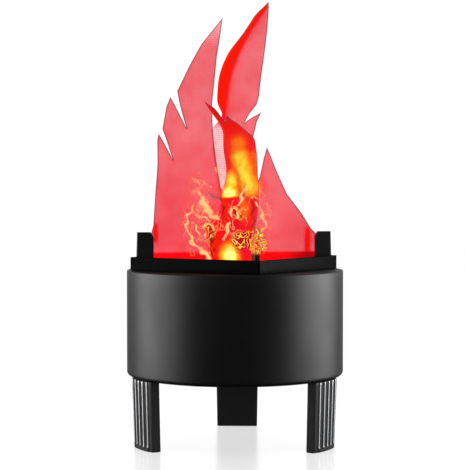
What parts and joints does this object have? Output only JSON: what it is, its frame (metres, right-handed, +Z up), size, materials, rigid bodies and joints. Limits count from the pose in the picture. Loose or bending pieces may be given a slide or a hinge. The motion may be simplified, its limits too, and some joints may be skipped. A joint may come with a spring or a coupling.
{
  "type": "silk flame effect light",
  "caption": "Round table-top flame effect lamp on ribbed legs: a fan under a square collar blows up silk flame wings held by corner posts.",
  "frame": {"origin": "on the floor, under the axis of the round drum", "axes": "+Z up along the drum's axis, +Y towards the rear leg, the power inlet and the rocker switch"},
  "size_m": [0.23, 0.23, 0.469],
  "materials": {
    "satin_black": "satin moulded plastic",
    "gloss_black": "semi-gloss moulded plastic",
    "fan_black": "matt moulded plastic",
    "silk": "fine plain weave silk, sheer",
    "steel": "turned steel",
    "zinc": "bright zinc plate",
    "bronze": "sintered bronze",
    "ferrite": "dull ferrite",
    "board_green": "solder mask over glass fibre",
    "board_white": "white solder mask over aluminium",
    "lens": "clear moulded lens",
    "tape_yellow": "winding tape",
    "sleeve_blue": "shrink sleeve",
    "terminal_green": "moulded plastic",
    "wire_black": "smooth insulation",
    "wire_red": "smooth insulation"
  },
  "bodies": {
    "lamp": {"drum_housing": "satin_black", "base_plate": "fan_black", "leg_left": "satin_black", "leg_right": "satin_black", "leg_rear": "satin_black", "leg_screw_left_a": "zinc", "leg_screw_left_b": "zinc", "leg_screw_right_a": "zinc", "leg_screw_right_b": "zinc", "leg_screw_rear_a": "zinc", "leg_screw_rear_b": "zinc", "base_screw_1": "zinc", "base_screw_2": "zinc", "base_screw_3": "zinc", "base_screw_4": "zinc", "flame_collar": "gloss_black", "post_right": "gloss_black", "post_rear": "gloss_black", "post_left": "gloss_black", "post_front": "gloss_black", "post_screw_right": "zinc", "post_screw_rear": "zinc", "post_screw_left": "zinc", "post_screw_front": "zinc", "silk_right_wing": "silk", "silk_rear_wing": "silk", "silk_left_wing": "silk", "silk_front_wing": "silk", "fan_screw_right": "zinc", "fan_screw_rear": "zinc", "fan_screw_left": "zinc", "fan_screw_front": "zinc", "fan_frame": "fan_black", "fan_bearing": "bronze", "fan_stator": "steel", "fan_circuit_board": "board_green", "fan_guard": "zinc", "led_board": "board_white", "led_lens_1": "lens", "led_lens_2": "lens", "led_lens_3": "lens", "led_lens_4": "lens", "driver_board": "board_green", "transformer": "tape_yellow", "capacitor": "sleeve_blue", "terminal_block": "terminal_green", "board_screw_1": "zinc", "board_screw_2": "zinc", "power_inlet": "gloss_black", "inlet_screw_1": "zinc", "inlet_screw_2": "zinc", "switch_housing": "gloss_black", "wire_inlet_switch": "wire_black", "wire_switch_driver": "wire_black", "wire_fan": "wire_black", "wire_leds": "wire_red"},
    "rotor": {"fan_rotor": "fan_black", "fan_shaft": "steel", "fan_magnet": "ferrite"},
    "rocker": {"switch_rocker": "gloss_black"}
  },
  "joints": [
    {"name": "fan_spin", "type": "hinge", "parent": "lamp", "child": "rotor", "pos_m": [0, 0, 0.1505], "axis": [0, 0, 1], "continuous": true},
    {"name": "rocker_tip", "type": "hinge", "parent": "lamp", "child": "rocker", "pos_m": [0.013, 0.1098, 0.1], "axis": [1, 0, 0], "range_deg": [0, 20]}
  ]
}
